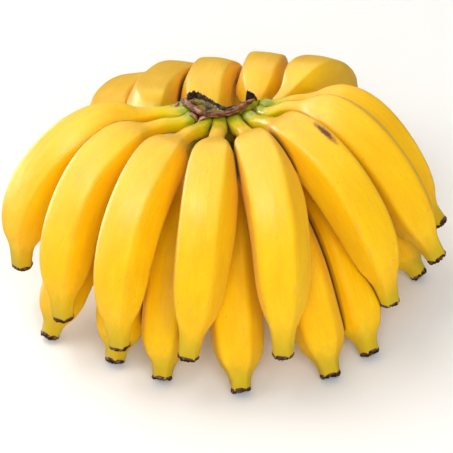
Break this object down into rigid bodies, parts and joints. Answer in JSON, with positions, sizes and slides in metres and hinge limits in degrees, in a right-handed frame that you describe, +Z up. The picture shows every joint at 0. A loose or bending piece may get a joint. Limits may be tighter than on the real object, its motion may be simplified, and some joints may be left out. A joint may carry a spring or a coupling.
{
  "type": "hand of bananas",
  "caption": "Hand of ripe yellow bananas in two tiers on one green crown with a dried cut top, standing on its fruit tips.",
  "frame": {"origin": "centre of the bounding box on the ground under the fruit tips", "axes": "+Z up, the crown on top; -Y towards the viewer of the picture, where both tiers of fruit show; +X to that viewer's right"},
  "size_m": [0.2758, 0.3114, 0.1252],
  "materials": {
    "peel": "ripe yellow peel with a soft waxy sheen, greenish at the neck",
    "crown_green": "smooth green crown tissue, slightly moist on the cut",
    "dried_brown": "dry dark brown scab, rough"
  },
  "bodies": {
    "root": {"banana_upper_1": "peel", "banana_upper_2": "peel", "banana_upper_3": "peel", "banana_upper_4": "peel", "banana_upper_5": "peel", "banana_upper_6": "peel", "banana_upper_7": "peel", "banana_upper_8": "peel", "banana_lower_1": "peel", "banana_lower_2": "peel", "banana_lower_3": "peel", "banana_lower_4": "peel", "banana_lower_5": "peel", "banana_lower_6": "peel", "banana_lower_7": "peel", "banana_back_1": "peel", "banana_back_2": "peel", "banana_back_3": "peel", "banana_back_4": "peel", "banana_back_5": "peel", "crown": "crown_green", "dried_cut_rim": "dried_brown"}
  },
  "joints": []
}
